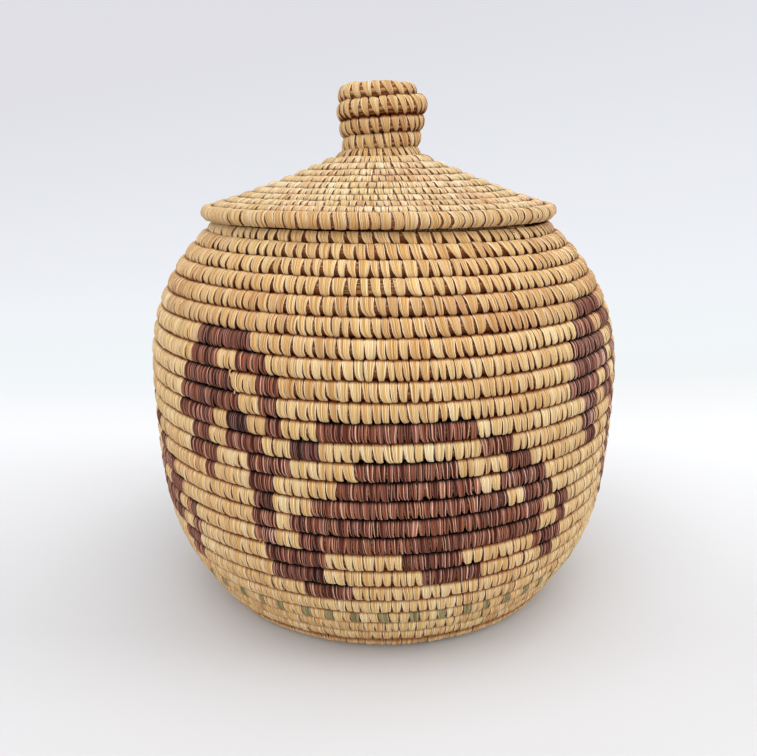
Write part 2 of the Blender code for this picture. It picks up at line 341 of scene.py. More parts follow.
# Places along a stitch run from -1 at its top end to 1 at its tip, and a pair is from where to where
stitch = {
    "outerFace": (-0.6, 0.0),  # round the bundle, from -1 on the inner face to 1 on the outer one
    "innerWidth": 0.8,  # its width on the inner face, as a share
    "taper": (-0.6, 1.0),  # narrows towards its tip
    "taperCurve": 1.15,
    "tipEnd": 1.04,  # its round tip would close here
    "narrowTop": (-0.7, -1.0),
    "tuck": (0.75, 1.0),  # the tip is pushed in under its neighbours
    "tipCrease": 0.95,  # how dark the painted shade in the crease at its tip is
    "tipCreaseSpan": 0.12,
    # painted shade on its lower half grows between these
    "shade": (-0.3, 0.4),
    "darkEdges": (-0.5, 0.6),  # painted shade on its edges grows towards the tip
    "lumps": 0.03 * mm,
    "leastRadius": 1.5 * mm,
    "fibreRound": 2.9,  # how far the fibre pattern goes along, for each radian round the bundle
    "seedAcross": 40,  # how far apart two stitches' places in the fibre pattern may lie
    "seedDeep": 90,
}


def widthAlong(each, tipward, outerFace):
    # Half a stitch's width: wedge-shaped on the outer face, with a round tip and a drawn-in top
    low, high = stitch["taper"]
    wedge = np.clip((tipward - low) / (high - low), 0, 1) ** stitch["taperCurve"]
    taper = 1 - (1 - each["foot"]) * wedge
    corner = np.clip((tipward - each["roundFrom"]) / (stitch["tipEnd"] - each["roundFrom"]), 0, 1)
    roundTip = 1 - each["round"] * (1 - np.sqrt(1 - corner ** 2))
    narrowTop = 1 - each["top"] * smooth(*stitch["narrowTop"], tipward)
    outerWidth = taper * roundTip * narrowTop * outerFace
    return each["width"] / 2 * (outerWidth + stitch["innerWidth"] * (1 - outerFace))


def paintedShadeAlong(each, tipward, line):
    # Painted shade on a stitch: in the creases at both its ends, on its lower half, and along its edges
    tipCrease = stitch["tipCrease"] * smooth(
        each["creaseFrom"], each["creaseFrom"] + stitch["tipCreaseSpan"], tipward
    )
    topCrease = smooth(each["topCreaseFrom"], each["topCreaseFrom"] + each["topCreaseSpan"], -tipward)
    creases = topCrease + tipCrease + each["shade"] * smooth(*stitch["shade"], tipward)
    alongEdge = each["edgeTop"] + (1 - each["edgeTop"]) * smooth(*stitch["darkEdges"], tipward)
    edges = (line == edgeLine) * each["edge"] * alongEdge
    return np.clip(creases + edges, 0, 1) * each["paintedShadeShare"]


def layStitches(coil, stitches, shape):
    # Copies of the strap, each bent round the bundle at its own place
    count = len(stitches["turn"])
    side, across, line = (np.tile(shape[name], count) for name in ("side", "across", "line"))
    each = {name: np.repeat(values, len(shape["side"])) for name, values in stitches.items()}
    tipward = coil["tipSide"] * np.sin(side)
    outerFace = smooth(*stitch["outerFace"], np.cos(side))
    swing = each["lean"] * tipward / 2 + each["hook"] * each["width"] * np.clip(tipward, 0, 1) ** 2
    swing = swing - each["bow"] * np.cos(side) ** 2 * outerFace
    sideways = coil["wayRound"] * swing + across * widthAlong(each, tipward, outerFace)
    middle = each["turn"]
    outward = np.cos(side) * coil["outerSide"] * coilValue(coil, middle, "alongHeight")
    radius = coilValue(coil, middle, "radius") + coilValue(coil, middle, "halfThickness") * outward
    turn = middle + sideways / (fullTurn * np.maximum(radius, stitch["leastRadius"]))
    turn = np.clip(turn, coil["path"][0, 0], coil["path"][-1, 0])
    lumps = dice.normal(0, stitch["lumps"], len(line))
    uneven = (lumps - coil["wayRound"] * across * each["tilt"]) * (line <= shoulderLine)
    tuck = each["tuck"] * smooth(*stitch["tuck"], tipward)
    lift = np.array(strap["lifts"])[line] + uneven + each["rise"] + tuck
    spots = onCoil(coil, turn, side, lift, each["reach"], each["draw"])
    spots[:, 2] = np.maximum(spots[:, 2], strap["floor"])
    fibre = [
        across * each["width"] / 2 / mm + each["seed"] * stitch["seedAcross"],
        side * stitch["fibreRound"],
        each["seed"] * stitch["seedDeep"],
    ]
    faces = shape["faces"][None] + (np.arange(count) * len(shape["side"]))[:, None, None]
    return {
        "spots": spots,
        "faces": faces.reshape(-1, 4),
        "fibre": np.stack(fibre, 1),
        "tone": each["tone"],
        "shadeAndSoiling": paintedShadeAlong(each, tipward, line),
        # the shoulders carry a painted highlight
        "rim": (line == shoulderLine) * 1.0,
    }


def addAttribute(mesh, name, kind, values):
    field = "vector" if kind == "FLOAT_VECTOR" else "value"
    attribute = mesh.attributes.new(name, kind, "POINT")
    attribute.data.foreach_set(field, np.concatenate(values).astype(np.float32).ravel())


def buildPiece(name, parts, materials):
    # One mesh of several laid parts, each with its own material
    loops, starts, kinds = [], [], []
    offset = 0
    loopCount = 0
    for kind, part in enumerate(parts):
        for face in part["faces"]:
            starts.append(loopCount)
            loopCount += len(face)
        loops.append(np.concatenate([np.asarray(face) for face in part["faces"]]) + offset)
        kinds.append(np.full(len(part["faces"]), kind))
        offset += len(part["spots"])
    mesh = bpy.data.meshes.new(name)
    spots = np.concatenate([part["spots"] for part in parts])
    loops = np.concatenate(loops)
    mesh.vertices.add(len(spots))
    mesh.vertices.foreach_set("co", spots.astype(np.float32).ravel())
    mesh.loops.add(len(loops))
    mesh.loops.foreach_set("vertex_index", loops.astype(np.int32))
    mesh.polygons.add(len(starts))
    mesh.polygons.foreach_set("loop_start", np.array(starts, np.int32))
    mesh.update(calc_edges=True)
    mesh.validate()
    mesh.polygons.foreach_set("material_index", np.concatenate(kinds).astype(np.int32))
    addAttribute(mesh, "fibre", "FLOAT_VECTOR", [part["fibre"] for part in parts])
    for label in ("tone", "shadeAndSoiling", "rim"):
        addAttribute(mesh, label, "FLOAT", [part[label] for part in parts])
    mesh.shade_smooth()
    for material in materials:
        mesh.materials.append(material)
    piece = bpy.data.objects.new(name, mesh)
    bpy.context.scene.collection.objects.link(piece)
    return piece


def linear(hexColour):
    # An sRGB hex colour as Blender's linear red, green, blue and alpha
    parts = [int(hexColour[i:i + 2], 16) / 255 for i in (1, 3, 5)]
    return [c / 12.92 if c <= 0.04045 else ((c + 0.055) / 1.055) ** 2.4 for c in parts] + [1]


def addNode(tree, kind, inputs=None, **settings):
    node = tree.nodes.new(kind)
    for name, value in settings.items():
        setattr(node, name, value)
    for name, value in (inputs or {}).items():
        if isinstance(value, bpy.types.NodeSocket):
            tree.links.new(value, node.inputs[name])
        else:
            node.inputs[name].default_value = value
    return node


def setStops(ramp, stops):
    elements = ramp.color_ramp.elements
    while len(elements) < len(stops):
        elements.new(0.5)
    for element, (position, colour) in zip(elements, stops):
        element.position = position
        element.color = linear(colour)


# Sockets of a Mix node, whose numbers and colours have the same names: share, numbers, colours
mixShare, numberA, numberB, colourA, colourB = 0, 2, 3, 6, 7


def strandPattern(tree, look):
    # The strands that a stitch splits into: a tone for each, their grain, and the way to their edges.
    # The fibre attribute holds millimetres across a stitch, and the way along it.
    fibre = addNode(tree, "ShaderNodeAttribute", attribute_name="fibre").outputs["Vector"]
    across = addNode(tree, "ShaderNodeSeparateXYZ", {"Vector": fibre}).outputs["X"]
    wander = addNode(tree, "ShaderNodeMapping", {"Vector": fibre, "Scale": look["wanderScale"]})
    noise = addNode(tree, "ShaderNodeTexNoise", {"Vector": wander.outputs[0], "Scale": 1.0, "Detail": 1.0})
    shift = addNode(tree, "ShaderNodeMath", {0: noise.outputs[0], 1: look["wander"]}, operation="MULTIPLY")
    scaled = addNode(tree, "ShaderNodeMath", {0: across, 1: 1 / look["fibreWidth"]}, operation="MULTIPLY")
    place = addNode(tree, "ShaderNodeMath", {0: scaled.outputs[0], 1: shift.outputs[0]}, operation="ADD")
    cellInputs = {"W": place.outputs[0], "Scale": 1.0}
    cells = addNode(tree, "ShaderNodeTexVoronoi", cellInputs, voronoi_dimensions="1D")
    splits = addNode(
        tree,
        "ShaderNodeTexVoronoi",
        cellInputs,
        voronoi_dimensions="1D",
        feature="DISTANCE_TO_EDGE",
    )
    cellTone = addNode(tree, "ShaderNodeSeparateColor", {"Color": cells.outputs["Color"]})
    stretch = (look["grainAcross"], 1 / look["fibreLength"], 1)
    stretched = addNode(tree, "ShaderNodeMapping", {"Vector": fibre, "Scale": stretch})
    grainInputs = {"Vector": stretched.outputs[0], "Scale": 1.0, "Detail": 2.0, "Roughness": 0.6}
    grain = addNode(tree, "ShaderNodeTexNoise", grainInputs).outputs[0]
    strandInputs = {mixShare: look["grain"], numberA: cellTone.outputs[0], numberB: grain}
    strands = addNode(tree, "ShaderNodeMix", strandInputs).outputs[0]
    return strands, grain, splits.outputs["Distance"]


def strandColour(tree, look, strands):
    # Colour of a strand, times its stitch's own tone, times blotches that spread over many stitches
    tone = addNode(tree, "ShaderNodeAttribute", attribute_name="tone").outputs["Fac"]
    place = addNode(tree, "ShaderNodeTexCoord").outputs["Object"]
    patchInputs = {"Vector": place, "Scale": look["patchScale"], "Detail": 2.0}
    patches = addNode(tree, "ShaderNodeTexNoise", patchInputs).outputs[0]
    colour = None
    for source, stops in ((strands, look["strands"]), (tone, look["tones"]), (patches, look["patches"])):
        ramp = addNode(tree, "ShaderNodeValToRGB", {"Fac": source})
        setStops(ramp, stops)
        if colour is None:
            colour = ramp.outputs[0]
        else:
            both = {mixShare: 1.0, colourA: colour, colourB: ramp.outputs[0]}
            colour = addNode(tree, "ShaderNodeMix", both, data_type="RGBA", blend_type="MULTIPLY").outputs[2]
    return colour


def grassMaterial(name, look):
    material = bpy.data.materials.new(name)
    material.use_nodes = True
    tree = material.node_tree
    shader = tree.nodes["Principled BSDF"]
    strands, grain, toSplit = strandPattern(tree, look)
    colour = strandColour(tree, look, strands)
    # the rim attribute marks each stitch's shoulders, which get a painted highlight
    rim = addNode(tree, "ShaderNodeAttribute", attribute_name="rim").outputs["Fac"]
    edgeHighlightPower = addNode(tree, "ShaderNodeMath", {0: rim, 1: look["edgeHighlightPower"]}, operation="POWER")
    edgeHighlightInputs = {0: edgeHighlightPower.outputs[0], 1: look["edgeHighlightShare"]}
    edgeHighlightShare = addNode(tree, "ShaderNodeMath", edgeHighlightInputs, operation="MULTIPLY").outputs[0]
    splitInputs = {
        "Value": toSplit,
        "From Min": look["splitWidth"][0],
        "From Max": look["splitWidth"][1],
        "To Min": look["splitDark"],
        "To Max": 0.0,
    }
    splitShare = addNode(tree, "ShaderNodeMapRange", splitInputs, clamp=True).outputs[0]
    shadeAndSoiling = addNode(tree, "ShaderNodeAttribute", attribute_name="shadeAndSoiling").outputs["Fac"]
    shadeAndSoilingShare = addNode(tree, "ShaderNodeMath", {0: shadeAndSoiling, 1: look["shadeAndSoilingStrength"]}, operation="MULTIPLY").outputs[0]
    # Over the strands' colour: painted highlights on the edges, dark splits, and painted shade with some
    # soiling in the creases and along the edges
    for share, over in ((edgeHighlightShare, look["rim"]), (splitShare, look["split"]), (shadeAndSoilingShare, look["crease"])):
        layer = {mixShare: share, colourA: colour, colourB: linear(over)}
        colour = addNode(tree, "ShaderNodeMix", layer, data_type="RGBA").outputs[2]
    tree.links.new(colour, shader.inputs["Base Color"])
    roughInputs = {"Value": strands, "To Min": look["roughness"][0], "To Max": look["roughness"][1]}
    rough = addNode(tree, "ShaderNodeMapRange", roughInputs)
    tree.links.new(rough.outputs[0], shader.inputs["Roughness"])
    ridgeInputs = {"Value": toSplit, "From Max": look["ridgeWidth"]}
    ridges = addNode(tree, "ShaderNodeMapRange", ridgeInputs, clamp=True, interpolation_type="SMOOTHSTEP")
    height = addNode(tree, "ShaderNodeMath", {0: ridges.outputs[0], 1: grain}, operation="ADD").outputs[0]
    bumpInputs = {"Height": height, "Strength": look["bump"], "Distance": look["ridgeHeight"]}
    relief = addNode(tree, "ShaderNodeBump", bumpInputs)
    tree.links.new(relief.outputs[0], shader.inputs["Normal"])
    shader.inputs["Specular IOR Level"].default_value = look["gloss"]
    shader.inputs["IOR"].default_value = look["ior"]
    return material


# Split, dried beach grass: straw-coloured strands side by side, matt with a faint shine on each,
# with a painted highlight where a stitch's edge turns over, and painted brown shade, with some soiling, where
# it goes into a crease
naturalLook = {
    "fibreWidth": 0.44,  # millimetres; real strands are half that, which the render wouldn't show
    "fibreLength": 9,
    "wander": 1.1,  # how far strands stray sideways, in strands
    "wanderScale": (0.3, 0.28, 1),
    "grain": 0.4,  # share of the fine grain in a strand's tone
    "grainAcross": 5.0,
    "strands": [(0.12, "#C09852"), (0.36, "#DFBD80"), (0.62, "#EFDAA4"), (0.88, "#F9F3D6")],
    "tones": [(0.0, "#DDC5AE"), (0.35, "#F3E7D6"), (0.7, "#FFF9EE"), (1.0, "#FFFFFF")],
    "patches": [(0.3, "#F4E4D8"), (0.7, "#FFFFFF")],
    "patchScale": 38.0,  # blotches of about 26 mm
    # the painted highlight along the stitches' shoulders
    "rim": "#FFF5DC",
    "edgeHighlightShare": 0.55,
    "edgeHighlightPower": 4.0,
    "split": "#7C450C",
    "splitWidth": (0.02, 0.22),  # dark up to the first, in strands, and gone at the second
    "splitDark": 0.95,
    # painted shade with some soiling, in the creases and along the stitches' edges: its colour and strength
    "crease": "#702B00",
    "shadeAndSoilingStrength": 0.97,
    "roughness": (0.66, 0.5),  # of dark strands and of pale ones
    "ior": 1.5,
    "bump": 0.7,
    "ridgeWidth": 0.35,  # in strands, from a split to the top of the strand beside it
    "ridgeHeight": 0.12 * mm,
    "gloss": 0.16,
}
# The same grass boiled in a plum dye: uneven, with nearly black painted shade in the creases, and duller
plumLook = dict(
    naturalLook,
    fibreWidth=0.4,
    strands=[(0.16, "#1C0705"), (0.38, "#652F24"), (0.58, "#A0644F"), (0.8, "#FBD2C2")],
    tones=[(0.0, "#5E4650"), (0.35, "#D2BEBC"), (0.7, "#FFF0DA"), (1.0, "#FFFFFF")],
    rim="#D2AC9C",
    edgeHighlightShare=0.45,
    split="#120403",
    splitDark=1.0,
    crease="#040000",
    shadeAndSoilingStrength=1.0,
    gloss=0.06,
)
# Sun-bleached grass on top of the lid: paler and finer, with pinkish and yellowish blotches
fadedLook = dict(
    naturalLook,
    fibreWidth=0.38,
    strands=[(0.12, "#BE9965"), (0.36, "#E3C594"), (0.62, "#F4DFB7"), (0.88, "#FDF7E5")],
    patches=[(0.32, "#F5DDD0"), (0.5, "#FFFFFF"), (0.68, "#F7F7E0")],
    crease="#3E1600",
)
# Grass dyed a soft olive green, now faded
greenLook = dict(
    naturalLook,
    strands=[(0.2, "#62653F"), (0.5, "#8F9067"), (0.8, "#B7B588")],
    tones=[(0.0, "#E0E0D8"), (1.0, "#FFFFFF")],
    rim="#C9C79C",
)
# Whole stalks of the bundle inside: coarser, browner and without painted edge highlights
foundationLook = dict(
    naturalLook,
    fibreWidth=0.75,
    fibreLength=14,
    wander=1.6,
    strands=[(0.2, "#6E3F16"), (0.5, "#A67340"), (0.8, "#D8AC74")],
    tones=[(0.0, "#FFFFFF"), (1.0, "#FFFFFF")],
    edgeHighlightShare=0.0,
    split="#3C1804",
    splitWidth=(0.02, 0.2),
    splitDark=0.95,
    shadeAndSoilingStrength=0.9,
    bump=0.9,
)

grass = {
    "natural": grassMaterial("splitBeachGrass", naturalLook),
    "faded": grassMaterial("fadedBeachGrass", fadedLook),
    "plum": grassMaterial("beachGrassDyedPlum", plumLook),
    "green": grassMaterial("beachGrassDyedGreen", greenLook),
    "foundation": grassMaterial("foundationGrass", foundationLook),
}

# The dyed figure, by rows counted down from the lid. Runs are degrees round from the figure's middle.
figure = {
    7: [(-44, -28.5, "plain")],
    8: [(-45, -36, "plain"), (-32, -24, "plain")],
    9: [(-48, -32, "plain"), (-26, -21, "pale")],
    10: [(-48, -31.5, "plain"), (-26, -21.5, "plain")],
    11: [(-50, -38, "plain"), (-34, -29, "dark"), (-25, -20, "plain"), (-13, 18, "plain")],
    12: [(-45, -39, "plain"), (-34.5, -25, "plain"), (-19, -13, "dark"), (19, 26, "plain")],
    13: [(-46, -38, "plain"), (-29.5, -19, "plain"), (-6, 14, "brown"), (24, 30, "plain")],
    14: [(-42, -38, "plain"), (-29, -23, "plain"), (-10, 19, "brown"), (24, 34, "pale")],
    15: [(-28, -24, "dark"), (-15, 18, "brown"), (18, 25, "pale"), (30, 38, "pale")],
    16: [(-28, -23, "plain"), (-19, 35, "plain"), (39, 43, "plain")],
    17: [(-28, -24, "plain"), (-19, 35, "plain"), (40, 44, "plain")],
    18: [(-26, -12, "plain"), (4, 16, "brown"), (34, 42, "plain")],
    19: [(-25, -13, "dark"), (8, 21, "pale"), (36, 41, "plain")],
    20: [(-19, -7, "plain")],
}
# Each copy's place, in turns along the coil, and how much paler it is painted: the copy on the right side is
# lifted as a painted highlight, where the light falls brighter
figureCopies = [(0, 0), (1.254, 0.5), (-1.25, 0), (1.5, 0)]
shadeTones = {"dark": 0.12, "plain": 0.5, "pale": 0.85, "brown": 0.62}


def degreesAt(turn):
    # The row a place is in, and how far round it lies from the front
    row = math.floor(turn)
    return row, (turn - row - 0.5) * 360


def dyeAt(turn, plan, rows):
    # The tone of the dyed grass at a place, if it is dyed there
    for shift, paintedLight in figureCopies:
        row, degrees = degreesAt(turn - shift)
        for low, high, shade in plan["figure"].get(rows - row, []):
            if low <= degrees < high:
                return shadeTones[shade] + paintedLight
    return None


def thinAt(turn, plan, rows):
    # How wide a stitch is at places where the foundation shows between the stitches
    row, degrees = degreesAt(turn)
    for fromTop, low, high, width in plan["thin"]:
        if rows - row == fromTop and low <= degrees < high:
            return width
    return 1


def rowValue(plan, name, fromTop):
    # A sewing value is a number, or a pair of lists: rows counted from the top, and their values
    value = plan[name]
    return np.interp(fromTop, *value) if isinstance(value, tuple) else value


# How unevenly the sewer works. A pair is from and to of an even spread, or a middle and its deviation,
# and the lengths among the pairs are in millimetres.
hand = {
    "start": 0.02,  # in turns: where on its coil the first stitch sits
    "stop": 0.004,  # and how far before its end the last one may begin
    "leastRadius": 2.5 * mm,  # stitches get no denser inside this
    "driftKept": 0.9,  # the grass's tone drifts along the coil
    "drift": (0, 0.06),
    "foot": (-0.18, 0.18),
    "naturalTone": 0.55,
    "tone": (0, 0.16),
    "bow": (0.14, 0.1),
    "tilt": (0.05, 0.05),
    "edge": (0.6, 1.15),
    "top": (0.6, 1.4),
    "hook": (-0.3, 1.9),
    "lean": (0, 0.36),
    "rise": (0, 0.07),
    "tuck": (0.0, 0.15),
    "reach": (0.5, 1.3),
    "greenEvery": 3,  # in the green row, one stitch of this many
}
# Dyed grass is finer: it is sewn closer, and the painted shade of its creases reaches further over the stitch
dyedWork = {
    "spacing": 0.74,
    "foot": 0.62,
    "driftShare": 0.5,
    "tone": (0, 0.12),
    "tipCrease": 0.06,
    "topCrease": 0.1,
}


def toneOf(dye, drift):
    # A stitch's tone from 0, the darkest, to 1, before it is limited to that
    if dye:
        return dye + dyedWork["driftShare"] * drift + dice.normal(*dyedWork["tone"])
    return hand["naturalTone"] + drift + dice.normal(*hand["tone"])


def sewCoil(coil, plan):
    # Walks along the coil and lists its stitches, each as its row, its kind and its values
    stitches = []
    turn = coil["path"][0, 0] + hand["start"]
    drift = 0.0
    while turn < coil["path"][-1, 0] - hand["stop"]:
        row = int(turn)
        fromTop = coil["rows"] - row
        here = {name: rowValue(plan, name, fromTop) for name in sewingNames}
        dye = dyeAt(turn, plan, coil["rows"])
        gap = here["spacing"] * mm * (dyedWork["spacing"] if dye else 1)
        gap = gap * (1 + dice.uniform(-1, 1) * plan["uneven"])
        drift = hand["driftKept"] * drift + dice.normal(*hand["drift"])
        kind = "plum" if dye else "natural"
        if plan["greenRow"] == fromTop and len(stitches) % hand["greenEvery"] == 0:
            kind = "green"
        foot = (dyedWork["foot"] if dye else here["foot"]) + dice.uniform(*hand["foot"])
        tone = toneOf(dye, drift) + here["tone"]
        outward = max(0, coil["outerSide"] * coilValue(coil, turn, "alongHeight"))
        radius = coilValue(coil, turn, "radius") + outward * coilValue(coil, turn, "halfThickness")
        step = gap / (fullTurn * max(radius, hand["leastRadius"]))
        values = dict(
            here,
            turn=turn + step / 2,
            width=gap * here["cover"] * thinAt(turn + step / 2, plan, coil["rows"]),
            bow=dice.normal(*hand["bow"]) * mm,
            tilt=dice.normal(*hand["tilt"]) * mm,
            edge=here["edge"] * dice.uniform(*hand["edge"]),
            foot=min(1.0, foot),
            top=here["top"] * dice.uniform(*hand["top"]),
            hook=here["hook"] * dice.uniform(*hand["hook"]),
            creaseFrom=here["creaseFrom"] - (dyedWork["tipCrease"] if dye else 0),
            topCreaseFrom=here["topCreaseFrom"] - (dyedWork["topCrease"] if dye else 0),
            lean=(here["lean"] + dice.normal(*hand["lean"])) * mm,
            rise=(here["rise"] + dice.normal(*hand["rise"])) * mm,
            tuck=dice.uniform(*hand["tuck"]) * mm,
            draw=float(drawOf(coil, row)),
            reach=here["reach"] * mm * dice.uniform(*hand["reach"]),
            tone=min(1.0, max(0.0, tone)),
            seed=dice.uniform(0, 1),
        )
        stitches.append((row, kind, values))
        turn += step
    return stitches


def dressCoil(coil, plan, strapShape, coreShape):
    # A piece for each row and kind of stitch; the natural one holds the core too
    stitches = sewCoil(coil, plan)
    for row, node in enumerate(coil["nodes"]):
        for kind, ending in (("natural", "sewn"), ("plum", "plum"), ("green", "green")):
            chosen = [values for ownRow, ownKind, values in stitches if (ownRow, ownKind) == (row, kind)]
            parts = []
            materials = []
            if chosen:
                values = {name: np.array([one[name] for one in chosen]) for name in chosen[0]}
                parts.append(layStitches(coil, values, strapShape))
                materials.append(grass["faded" if kind == "natural" and "lid_row" in node else kind])
            if kind == "natural":
                parts.append(layCore(coil, row, coreShape))
                materials.append(grass["foundation"])
            if parts:
                piece = buildPiece(f"{node}_{ending}", parts, materials)
                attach(piece, coil["body"])
                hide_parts(node)
    say(f"{len(stitches)} stitches on the {coil['body']}'s coil from {coil['nodes'][0]}")


# What a coil's sewing says for each of its rows
sewingNames = (
    "spacing",  # from stitch to stitch, in mm
    "cover",  # a stitch's width, as a share of that
    "foot",  # its width at the tip, as a share
    "lean",  # how far its tip lies further along the coil, in mm
    "hook",  # how far its tip bends that way, in widths
    "top",  # how much its upper end is drawn in
    "reach",  # how far its tip goes over the row before, in mm
    "rise",  # how high it stands over the bundle, in mm
    "round",  # how round its tip is
    "roundFrom",  # and where along the stitch that starts
    "shade",  # how dark the painted shade on its lower half is
    "topCreaseFrom",  # where the painted shade of the crease at its upper end starts
    "topCreaseSpan",
    "creaseFrom",  # and the one at its tip
    "edge",  # how dark the painted shade on its edges is
    "edgeTop",  # and what share of that is left at their upper end
    "paintedShadeShare",  # the share of all its painted shade that is kept
    "tone",  # what its tone gets added
)
potSewing = {
    "spacing": ([1, 2, 3, 5, 7, 9, 35], [3.85, 3.7, 3.5, 3.5, 3.2, 2.9, 2.85]),
    "cover": 1.05,
    "foot": ([1, 2, 4, 6, 8, 10, 14, 35], [0.58, 0.52, 0.54, 0.57, 0.58, 0.6, 0.62, 0.66]),
    "lean": ([1, 2, 5, 10], [1.1, 0.8, 0.6, 0.5]),
    "hook": ([4, 7, 35], [0.1, 0.18, 0.2]),
    "top": ([4, 7, 35], [0.4, 0.26, 0.22]),
    "reach": ([1, 2, 3, 4, 35], [0.8, 0.65, 0.45, 0.3, 0.26]),
    "rise": 0,
    "round": 1,
    "roundFrom": 0.78,
    "shade": 0,
    # the rim's upper half is painted dark: a painted shadow under the lid
    "topCreaseFrom": ([1, 2], [-0.1, 0.64]),
    "topCreaseSpan": ([1, 2], [0.5, 0.18]),
    "creaseFrom": 0.88,
    "edge": 1.0,
    "edgeTop": 0.35,
    "paintedShadeShare": ([21, 23, 25], [1, 0.95, 0.8]),
    "tone": ([1, 4, 5, 6, 8, 20, 23, 35], [0, -0.15, -0.3, -0.3, 0.1, 0.15, -0.1, -0.15]),
    "uneven": 0.32,  # how far the spacing strays, as a share
    "thin": [(1, 42.0, 49.0, 0.75), (4, -8.0, 2.0, 0.8)],  # row, from and to in degrees, share of the width
    "figure": figure,
    "greenRow": 22,
}
lidSewing = {
    "spacing": ([1, 2, 10, 11, 12], [3.8, 2.7, 2.7, 2.8, 3.7]),
    "cover": ([1, 2, 10, 11, 16], [0.99, 1.03, 1.03, 0.92, 0.96]),
    "foot": ([1, 2, 10, 11, 16], [1.0, 0.76, 0.76, 0.4, 0.45]),
    "lean": ([1, 2, 10, 11, 16], [0.35, 0.2, 0.2, 1.7, 1.5]),
    "hook": ([1, 2, 10, 11], [0.08, 0.05, 0.05, 0.1]),
    "top": ([1, 2, 10, 11, 14, 15], [0.0, 0.05, 0.05, 0.55, 0.5, 0.05]),
    "reach": ([1, 2], [0, 0.26]),
    "rise": ([1, 2, 13, 14, 15, 16], [-0.14, 0, 0, -0.1, -0.25, -0.35]),
    "round": ([1, 2], [0.1, 1]),
    "roundFrom": 0.5,
    # the lid's edge row gets painted shade on its lower half
    "shade": ([1, 2], [0.18, 0]),
    "topCreaseFrom": ([13, 14, 15], [0.64, 0.9, 1.2]),
    "topCreaseSpan": 0.18,
    "creaseFrom": ([1, 2, 10, 11], [1.0, 0.56, 0.56, 0.76]),
    "edge": ([1, 2, 10, 11], [1.6, 0.85, 0.85, 1.0]),
    "edgeTop": ([1, 2], [1.2, 0.25]),
    "paintedShadeShare": 1,
    "tone": ([1, 2, 10, 11], [0.2, 0, 0, -0.15]),
    "uneven": 0.24,
    "thin": [],
    "figure": {},
    "greenRow": None,
}

strapShape = modelStrap()
coreShape = modelRod(core["sides"], core["steps"])
for coil, plan in ((potCoil, potSewing), (lidCoil, lidSewing), (flangeCoil, lidSewing)):
    dressCoil(readCoil(coil), plan, strapShape, coreShape)

straw = {
    "sides": 6,
    "steps": 10,
    "radius": 0.3 * mm,
    "flat": 0.6,  # its thickness, as a share of its width
    "taper": (0.06, 0.6),  # how thin its ends get, and how suddenly
    "ahead": 10,  # its direction is measured over one of so many parts of it
    "fibreRound": 0.4,  # how far the fibre pattern goes across, for each radian round it
    "fibreAlong": 6,  # and how far along over its whole length
    "tone": 0.8,
    "thin": 7,  # straws that show at a thin place
    "thinSide": 52,  # how far up and down the row they lie, in degrees
    "thinStray": (-5, 5),
    "thinRise": -0.28,  # in mm: sunk into the bundle
    "underStitches": 0.8,  # degrees that they go on under the stitches beside it
    # Loose ends: row from the top, where it starts and ends (degrees, side), its rise in the middle
    "ends": [
        (9, (-33.2, 78), (-31.9, 15), 0.35),
        (9, (-32.2, 80), (-32.8, 38), 0.45),
        (10, (-31.6, 76), (-31.0, 40), 0.3),
        (12, (-12.0, -80), (-11.3, -45), 0.3),
        (17, (-27.4, -78), (-26.4, -20), 0.4),
        (18, (-26.6, 78), (-26.0, 35), 0.35),
    ],
}


def layStraw(coil, fromTop, start, end, rise, shape, seed):
    # Bends a straw over the coil from one place to another, given as degrees from the front and side
    share = shape["share"]
    thinnest, sudden = straw["taper"]
    taper = np.sqrt(np.clip(4 * share * (1 - share), thinnest, 1)) ** sudden
    row = coil["rows"] - fromTop
    turn = row + 0.5 + (start[0] + (end[0] - start[0]) * share) / 360
    side = np.radians(start[1] + (end[1] - start[1]) * share)
    lift = rise * mm * 4 * share * (1 - share)
    middle = onCoil(coil, turn, side, lift)
    out = onCoil(coil, turn, side, lift + 1.0 * mm) - middle
    out = out / np.linalg.norm(out, axis=1)[:, None]
    turnAhead = turn + (end[0] - start[0]) / (360 * straw["ahead"])
    sideAhead = side + math.radians(end[1] - start[1]) / straw["ahead"]
    along = onCoil(coil, turnAhead, sideAhead, 0) - onCoil(coil, turn, side, 0)
    along = along / np.linalg.norm(along, axis=1)[:, None]
    across = np.cross(out, along)
    radius = (straw["radius"] * taper)[:, None]
    wide, high = np.cos(shape["side"])[:, None], np.sin(shape["side"])[:, None]
    count = len(share)
    fibre = [
        shape["side"] * straw["fibreRound"] + seed * stitch["seedAcross"],
        share * straw["fibreAlong"],
        np.full(count, seed * stitch["seedDeep"]),
    ]
    return {
        "spots": middle + across * radius * wide + out * straw["flat"] * radius * high,
        "faces": shape["faces"],
        "fibre": np.stack(fibre, 1),
        "tone": np.full(count, straw["tone"]),
        "shadeAndSoiling": np.zeros(count),
        "rim": np.zeros(count),
    }


def layStraws(coil, plan, shape):
    # The straws that show at thin places, and loose ends of stitches
    placed = []
    under = straw["underStitches"]
    spread = straw["thinSide"]
    for fromTop, low, high, _ in plan["thin"]:
        for number in range(straw["thin"]):
            side = -spread + 2 * spread * number / (straw["thin"] - 1)
            start, end = (side + dice.uniform(*straw["thinStray"]) for _ in range(2))
            placed.append((fromTop, (low - under, start), (high + under, end), straw["thinRise"]))
    placed += straw["ends"]
    for number, (fromTop, start, end, rise) in enumerate(placed):
        node = coil["nodes"][coil["rows"] - fromTop]
        part = layStraw(coil, fromTop, start, end, rise, shape, dice.uniform(0, 1))
        material = grass["foundation" if rise < 0 else "natural"]
        piece = buildPiece(f"{node}_straw_{number:02d}", [part], [material])
        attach(piece, coil["body"])
    say(f"{len(placed)} straws on the {coil['body']}")


layStraws(potCoil, potSewing, modelRod(straw["sides"], straw["steps"]))

